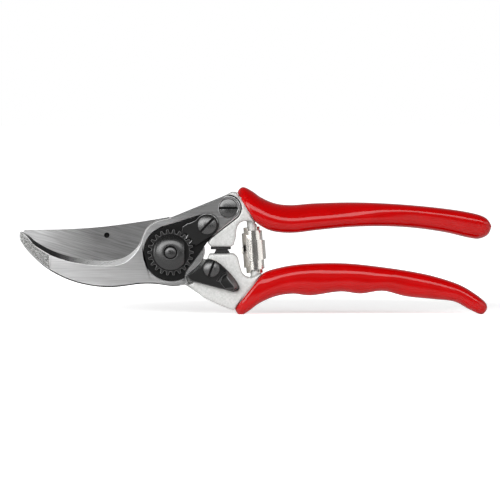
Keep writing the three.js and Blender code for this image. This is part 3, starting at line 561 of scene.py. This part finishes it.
# ---------- grips ----------
# The upper and the lower line of each grip in the tool's plane, from its front. power is the superellipse
# power of its section, where 1 is round. lean is how far the section's front leans down. Both are given near
# the grip's front and near its end.
UPPER_GRIP = {
    "top": [
        (29.9, 27.6), (32.9, 29.6), (37.0, 27.8), (41.5, 24.7), (47.9, 22.1), (55.2, 21.4), (66.1, 22.2),
        (84.0, 22.6), (102.6, 21.9), (120.8, 20.3), (135.4, 18.2), (143.2, 15.8), (146.2, 11.9),
    ],
    "bottom": [
        (38.8, 13.2), (44.3, 10.1), (50.0, 8.9), (57.0, 8.8), (66.1, 9.9), (80.7, 11.3), (95.3, 11.7),
        (109.9, 11.0), (124.4, 9.0), (135.4, 6.5), (140.5, 6.0), (144.6, 8.0), (146.2, 11.9),
    ],
    "power": (0.95, 0.7),
    "lean": (0.25, -0.14),
}
LOWER_GRIP = {
    "top": [
        (42.0, -9.4), (46.6, -7.8), (55.2, -6.0), (66.1, -5.1), (80.7, -5.2), (96.0, -6.8), (110.0, -8.9),
        (121.0, -11.3), (131.7, -14.9), (139.0, -19.2), (143.4, -23.0), (144.3, -25.8),
    ],
    "bottom": [
        (28.8, -26.4), (31.4, -28.7), (34.6, -27.6), (40.6, -23.3), (47.9, -20.2), (55.6, -19.1),
        (64.0, -19.8), (77.1, -18.1), (86.4, -19.0), (96.6, -17.8), (107.0, -20.2), (119.5, -21.5),
        (129.0, -22.6), (136.0, -26.2), (141.6, -28.4), (144.3, -25.8),
    ],
    "power": (0.66, 0.62),
    "lean": (0.0, 0.0),
}
GRIP_WALL = 1.5
GRIP_CENTRE_Z = -2.3
GRIP_HALF_DEPTH = 7.6
SMALLEST = 0.05  # of the half sizes of a section, so that none closes to a point
END_ROUND = 0.07  # share of the length over which the end closes
RUNGS = 160
SIDES = 72
TURNS_FROM, TURNS_TO = 0.3, 0.7  # shares of the length between which a grip's section changes
INNER_RUNGS = (12, 6, 1)  # of the sleeve's inner wall, from its inner end to its mouth
# (rung, how far in from the outline), from the inside out
LIP = ((0, GRIP_WALL), (0, 1.05), (0, 0.7), (1, 0.3), (2, 0.08))
GRIP_SHARP = 75  # degrees


def superellipse(angle, power):
    """A point of a superellipse of half sizes 1."""
    across, out = math.sin(angle), math.cos(angle)
    return math.copysign(abs(across) ** power, across), math.copysign(abs(out) ** power, out)


def grip(node, lines):
    """A dipped sleeve: its lip turns in at the front and its end is closed and round."""
    top = catmull_rom(lines["top"], RUNGS)
    low = catmull_rom(lines["bottom"], RUNGS)

    def ring(rung, wall):
        share = min(1.0, max(0.0, (rung / RUNGS - TURNS_FROM) / (TURNS_TO - TURNS_FROM)))
        ease = share * share * (3 - 2 * share)
        power, lean = (near + (far - near) * ease for near, far in (lines["power"], lines["lean"]))
        middle, half = (top[rung] + low[rung]) / 2, (top[rung] - low[rung]) / 2
        length = np.linalg.norm(half)
        direction = half / length
        closing = max(0.0, (rung / RUNGS - 1 + END_ROUND) / END_ROUND)
        depth = max(SMALLEST, GRIP_HALF_DEPTH * math.sqrt(max(0.0, 1 - closing**2)) - wall)
        reach = max(SMALLEST, length - wall)
        points = []
        for k in range(SIDES):
            across, out = superellipse(2 * math.pi * (k + 0.5) / SIDES, power)
            spot = middle + direction * reach * across
            points.append((spot[0], spot[1], GRIP_CENTRE_Z + depth * (out - lean * across)))
        return points

    inside = [ring(rung, GRIP_WALL) for rung in INNER_RUNGS]
    lip = [ring(rung, inset) for rung, inset in LIP]
    outside = [ring(rung, 0) for rung in range(LIP[-1][0] + 1, RUNGS)]
    points, faces = skin(inside + lip + outside)
    mesh = mesh_of(node + "_look", points, faces)
    mesh.transform(TOOL)
    shade(recalculated(mesh), GRIP_SHARP)
    return finish_piece(add_object(node + "_look", mesh), node, VINYL)


# ---------- steel pieces with several finishes ----------
TIP_GRIND_X = -54.9  # the hook's coarse tip lies left of this
NECK_X = -14.0  # the slope along its shearing edge lies left of this
BELLY_END_X = 4.0  # its dark lower side lies left of this
NUT_RIM_FRONT = 5.45
NUT_DOME_R = 8.1
NUT_DOME_EDGE = 0.25  # broken edge round the dome
DIMPLE = (-29.1, 7.7)  # the cutting blade's hole
DIMPLE_R = 1.4
DIMPLE_EDGE_Z = -0.08  # below its broken edge
PAD_X, PAD_Z = 23.0, 6.1  # the catch's thumb pad lies right of and in front of these


def counter_blade():
    """The hook: a bright face and a slope along its shearing edge, both with a painted reflection (the
    slope's is dark towards the tip), a coarse ground tip, broken edges painted bright as highlights and a
    lower side painted dark as shade.
    """

    def on_slope(spot, normal):
        return spot.x < NECK_X and 0.05 < normal.z < 0.75 and normal.y > 0.15

    def on_tip(spot, normal):
        return spot.x < TIP_GRIND_X and normal.z > 0.97

    def on_belly(spot, normal):
        return spot.x < BELLY_END_X and normal.y < -0.3 and -0.9 < normal.z < 0.97

    obj = crisp("counter_blade", HOOK_STEEL, edge=0.24, highlight_look=HOOK_EDGE_HIGHLIGHT)
    paint(obj, HOOK_SLOPE, on_slope)
    paint(obj, GROUND_TIP, on_tip)
    paint(obj, BELLY_SHADE, on_belly)


def cutting_blade():
    """The blade behind the hook. The walls and the floor of its small drilled hole are painted black as
    shade.
    """

    def in_hole(spot, normal):
        near = (spot.xy - Vector(DIMPLE)).length < DIMPLE_R
        return near and spot.z < DIMPLE_EDGE_Z and normal.z > -0.5

    obj = crisp("cutting_blade", BLADE_STEEL, edge=0.08)
    paint(obj, BLACK, in_hole)


def adjusting_nut():
    """Its dome is gunmetal, its teeth are a little brighter and its rim is black. Its broken edges outside
    the dome are painted lighter as highlights.
    """

    def on_teeth(spot, normal):
        return normal.z > 0.98 and abs(spot.z - NUT_RIM_FRONT) < 0.1

    def under_dome(spot, normal):
        return spot.xy.length < NUT_DOME_R + NUT_DOME_EDGE

    def on_dome(spot, normal):
        return spot.z > NUT_RIM_FRONT + NUT_DOME_EDGE and spot.xy.length < NUT_DOME_R

    obj = crisp("adjusting_nut", BLACK, edge=0.18, highlight_look=NUT_EDGE_HIGHLIGHT)
    paint(obj, TEETH_STEEL, on_teeth)
    paint(obj, BLACK, under_dome)
    paint(obj, GUNMETAL, on_dome)


def toothed_segment():
    """Black, with its upper broken edges painted bright as highlights, apart from those that face right."""

    def facing_away_from_light(spot, normal):
        return normal.y < 0.1 or normal.x > 0.6

    obj = crisp("toothed_segment", SEGMENT_BLACK, edge=0.25, highlight_look=SEGMENT_EDGE_HIGHLIGHT)
    paint(obj, SEGMENT_BLACK, facing_away_from_light)


def thumb_catch():
    """Black, its broken edges painted lighter as highlights. The side of its thumb pad's ridge that faces
    right is painted brighter as a highlight.
    """

    def right_of_ridge(spot, normal):
        return spot.x > PAD_X and spot.z > PAD_Z and normal.x > 0.2 and normal.z > 0.4

    obj = crisp("thumb_catch", SEGMENT_BLACK, edge=0.2, highlight_look=CATCH_EDGE_HIGHLIGHT)
    paint(obj, PAD_HIGHLIGHT, right_of_ridge)


def screw(node, centre, degrees, floor):
    """A slotted screw. The walls and the floor of its slot are painted black as shade."""
    obj = crisp(node, SCREW_STEEL, edge=0.15)
    paint(obj, BLACK, slot_at(centre, degrees, floor))


# ---------- volute spring ----------
SPRING_TOP = (37.0, 11.4)
SPRING_BOTTOM = (38.5, -9.6)
STRIP_T = 0.86
STRIP_OUTER_R = 5.9
STRIP_PITCH = 0.96  # how far the radius falls in one turn
STRIP_TURNS = 2.6
STRIP_START = 192.0  # degrees about the spring's axis, where the strip's outer end lies
SPLIT_TURN = 1.2  # from here on the strip is two arms
SPLIT_OPENS = 3.4  # by which each arm's inner edge moves out in one turn
STRIP_SHARP = 40  # degrees
# (turn, how far the strip reaches to either side of the spring's middle)
STRIP_REACH = (
    (0.0, 1.6), (0.1, 1.8), (0.3, 3.8), (0.5, 4.3), (0.78, 5.1), (0.82, 7.5), (1.0, 7.9), (1.5, 8.8),
    (1.8, 8.9), (1.84, 10.4), (2.6, 10.6),
)
STRIP_STEPS = 150


def strip_corners(turn):
    """The strip's section at a turn: four corners as (radius, height above the spring's middle)."""
    outer = STRIP_OUTER_R - STRIP_PITCH * turn
    inner = outer - STRIP_T
    near = max(0.0, (turn - SPLIT_TURN) * SPLIT_OPENS)
    far = np.interp(turn, *zip(*STRIP_REACH))
    return (outer, near), (outer, far), (inner, far), (inner, near)


def volute_spring():
    """A double volute: one V-shaped strip wound from its outer end. Its two arms step out to the ends."""
    top, low = place(*SPRING_TOP, GRIP_CENTRE_Z), place(*SPRING_BOTTOM, GRIP_CENTRE_Z)
    centre, axis = (top + low) / 2, (top - low).normalized()
    side = axis.cross(Vector((0, -1, 0))).normalized()
    out = side.cross(axis).normalized()
    points, weights, faces = [], [], []
    for arm in (1, -1):
        before = None
        for step in range(STRIP_STEPS + 1):
            turn = STRIP_TURNS * step / STRIP_STEPS
            angle = math.radians(STRIP_START) + 2 * math.pi * turn
            away = math.cos(angle) * side + math.sin(angle) * out
            share = max(0.0, (turn - SPLIT_TURN) / (STRIP_TURNS - SPLIT_TURN))
            whole = turn <= SPLIT_TURN
            # Before the split, the second arm starts from the first arm's own points in the strip's middle.
            ring = [4 * step, None, None, 4 * step + 3] if whole and arm < 0 else [None] * 4
            for k, (radius, height) in enumerate(strip_corners(turn)):
                if ring[k] is None:
                    ring[k] = len(points)
                    points.append(centre + away * radius * MM + axis * arm * height * MM)
                    weights.append(0.5 + 0.5 * arm * share)
            if before:
                sides = range(3) if whole else range(4)
                faces += [(before[k], before[(k + 1) % 4], ring[(k + 1) % 4], ring[k]) for k in sides]
            if step in (0, STRIP_STEPS):
                faces.append(ring)
            before = ring
    mesh = recalculated(mesh_of("volute_spring_look", points, faces))
    obj = add_object("volute_spring_look", mesh)
    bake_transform(obj, "lower", "upper", start=low, end=top)
    obj.data.attributes["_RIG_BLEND"].data.foreach_set("value", weights)
    shade(mesh, STRIP_SHARP)
    return finish_piece(obj, "volute_spring", NICKEL)


# ---------- camera, floor and light ----------
VIEW_WIDTH = 227.8  # at the tool
VIEW_CENTRE = (36.1, 0.9, -2.0)
VIEW_ELEVATION = 1.6  # degrees
LENS = 400
CLIP_END = 100  # metres
FLOOR_SIZE = 30  # metres
FLOOR_SHADE, FLOOR_DARK = 0.8, 0.1
FLOOR_BOUNCE = 0.1  # further light that the floor gives to the tool
BOUNCE_FADE = (-0.24, -0.08)  # Y between which the floor in front of the tool goes from dark to pale for it
SEEN_SHADE = 0.9  # of the floor as the camera sees it
SEEN_GLOW = (0.4, 1.2)  # its own light to the camera, in the middle of the shadow and away from it
SHADOW_CENTRE = (0.03, 0.105)
SHADOW_STRETCH = (1.8, 2.0)
SHADOW_FADE = (0.12, 0.35)  # distances from its centre, in stretched metres


def camera():
    """A long lens that looks at the tool's front from a little above."""
    data = bpy.data.cameras.new("camera")
    data.lens = LENS
    obj = bpy.data.objects.new("camera", data)
    bpy.context.collection.objects.link(obj)
    distance = LENS / data.sensor_width * VIEW_WIDTH * MM
    lift = math.radians(VIEW_ELEVATION)
    back = Vector((0, -math.cos(lift), math.sin(lift)))
    obj.location = place(*VIEW_CENTRE) + back * distance
    obj.rotation_euler = (-back).to_track_quat("-Z", "Y").to_euler()
    data.clip_end = CLIP_END
    bpy.context.scene.camera = obj


def floor_for_tool(made, here):
    """The floor's shader for the tool's light and reflections: dark in front of the tool and pale behind."""
    tree = made.node_tree
    spot = tree.nodes.new("ShaderNodeSeparateXYZ")
    tree.links.new(here, spot.inputs["Vector"])
    pale = map_range(tree, spot.outputs["Y"], BOUNCE_FADE, (0, 1), smooth=True)
    tint(made, pale, (FLOOR_DARK,) * 3, (FLOOR_SHADE,) * 3)
    shader = tree.nodes["Principled BSDF"]
    shader.inputs["Emission Color"].default_value = (1, 1, 1, 1)
    bounce = map_range(tree, spot.outputs["Y"], BOUNCE_FADE, (0, FLOOR_BOUNCE), smooth=True)
    tree.links.new(bounce, shader.inputs["Emission Strength"])
    return shader.outputs["BSDF"]


def floor_for_camera(made, here):
    """The floor's shader for the camera: a faint soft shadow round the tool, and plain white further out."""
    nodes, links = made.node_tree.nodes, made.node_tree.links
    shift = nodes.new("ShaderNodeMapping")
    shift.inputs["Location"].default_value = (*(-c * k for c, k in zip(SHADOW_CENTRE, SHADOW_STRETCH)), 0)
    shift.inputs["Scale"].default_value = (*SHADOW_STRETCH, 1)
    away = nodes.new("ShaderNodeVectorMath")
    away.operation = "LENGTH"
    glow = nodes.new("ShaderNodeEmission")
    white = nodes.new("ShaderNodeBsdfDiffuse")
    white.inputs["Color"].default_value = (SEEN_SHADE, SEEN_SHADE, SEEN_SHADE, 1)
    both = nodes.new("ShaderNodeAddShader")
    links.new(here, shift.inputs["Vector"])
    links.new(shift.outputs["Vector"], away.inputs[0])
    own_light = map_range(made.node_tree, away.outputs["Value"], SHADOW_FADE, SEEN_GLOW, smooth=True)
    links.new(own_light, glow.inputs["Strength"])
    links.new(white.outputs["BSDF"], both.inputs[0])
    links.new(glow.outputs["Emission"], both.inputs[1])
    return both.outputs["Shader"]


def floor():
    """A plain white floor under the tool."""
    bpy.ops.mesh.primitive_plane_add(size=FLOOR_SIZE, location=(0, 0, CAD_BOX[0].z))
    obj = bpy.context.object
    obj.name = "floor"
    paper = material("floor", (FLOOR_SHADE,) * 3, metallic=0.0, roughness=1.0, Specular_IOR_Level=0.0)
    tree = paper.node_tree
    here = tree.nodes.new("ShaderNodeTexCoord").outputs["Object"]
    seen_or_not = by_camera_rays(tree, floor_for_tool(paper, here), floor_for_camera(paper, here))
    tree.links.new(seen_or_not, tree.nodes["Material Output"].inputs["Surface"])
    obj.data.materials.append(paper)


def softbox(name, position, size, radiance, mirrored=True):
    """An area light aimed at the tool, placed in its own frame. Only a mirrored one shows in gloss."""
    data = bpy.data.lights.new(name, "AREA")
    data.shape = "RECTANGLE"
    data.size, data.size_y = (side * MM for side in size)
    data.energy = radiance * math.pi * data.size * data.size_y
    obj = bpy.data.objects.new(name, data)
    obj.visible_glossy = mirrored
    bpy.context.collection.objects.link(obj)
    obj.location = place(*position)
    aim = place(*VIEW_CENTRE) - obj.location
    obj.rotation_euler = aim.to_track_quat("-Z", "Y").to_euler()


# (height from straight down at 0 to straight up at 1, level)
SKY_STOPS = ((0.0, 0.8), (0.5, 0.65), (0.62, 0.46), (0.8, 0.18), (1.0, 0.1))
SKY_SIDES = {"X": (1.1, 0.7), "Y": (0.4, 1.0)}  # strength from one end of an axis to the other


def world():
    """White to the camera; to the object, a studio that darkens towards the top and towards the right."""
    made = bpy.data.worlds.new("studio")
    bpy.context.scene.world = made
    made.use_nodes = True
    tree = made.node_tree
    nodes, links = tree.nodes, tree.links
    nodes.clear()
    direction = nodes.new("ShaderNodeSeparateXYZ")
    links.new(nodes.new("ShaderNodeTexCoord").outputs["Generated"], direction.inputs["Vector"])
    sky = grey_ramp(tree, map_range(tree, direction.outputs["Z"], (-1, 1), (0, 1)), SKY_STOPS)
    strength = nodes.new("ShaderNodeMath")
    strength.operation = "MULTIPLY"
    for factor, (axis, sides) in zip(strength.inputs, SKY_SIDES.items()):
        links.new(map_range(tree, direction.outputs[axis], (-1, 1), sides, smooth=True), factor)
    studio = nodes.new("ShaderNodeBackground")
    links.new(sky, studio.inputs["Color"])
    links.new(strength.outputs["Value"], studio.inputs["Strength"])
    white = nodes.new("ShaderNodeBackground")
    white.inputs["Color"].default_value = (1, 1, 1, 1)
    white.inputs["Strength"].default_value = 1.0
    seen_or_not = by_camera_rays(tree, studio.outputs["Background"], white.outputs["Background"])
    links.new(seen_or_not, nodes.new("ShaderNodeOutputWorld").inputs["Surface"])


# ---------- the pruner ----------
SEGMENT_SCREW = (16.6, 12.5)
BLADE_SCREW = (26.2, 20.1)
CATCH_SCREW = (18.6, -7.4)
# piece: how far its edges are broken
PLATED = {
    "catch_spring_washer": 0.05,
    "segment_sleeve_nut": 0.15,
    "counter_blade_sleeve_nut": 0.15,
    "bolt_washer": 0.08,
    "pivot_bush": 0.1,
}

camera()
floor()
world()
softbox("key", position=(-260, 620, 420), size=(600, 300), radiance=2.9, mirrored=False)
softbox("front_strip", position=(0, 340, 690), size=(1100, 290), radiance=3.0)
softbox("left_front", position=(-420, 60, 600), size=(460, 420), radiance=3.2)
softbox("back", position=(250, 420, -600), size=(700, 400), radiance=1.5, mirrored=False)
softbox("left", position=(-620, 80, 200), size=(120, 380), radiance=2.4)
softbox("right_front", position=(640, 90, 260), size=(700, 480), radiance=0.9)
bpy.context.scene.view_settings.view_transform = "Standard"

grip("upper_grip", UPPER_GRIP)
grip("lower_grip", LOWER_GRIP)
soft("upper_handle", ALLOY, voxel=0.3, rounds=5)
soft("lower_handle", ALLOY, voxel=0.3, rounds=5)
counter_blade()
cutting_blade()
crisp("thrust_plate", BLACK, edge=0.12)
adjusting_nut()
crisp("pivot_bolt", GUNMETAL, edge=0.2)
toothed_segment()
screw("segment_screw", SEGMENT_SCREW, degrees=46, floor=6.3)
screw("counter_blade_screw", BLADE_SCREW, degrees=0, floor=3.0)
thumb_catch()
screw("catch_screw", CATCH_SCREW, degrees=70, floor=6.7)
for name, edge in PLATED.items():
    crisp(name, NICKEL, edge)
crisp("stop_pad", RUBBER, edge=0.2)
crisp("bumper", RUBBER, edge=0.2)
volute_spring()
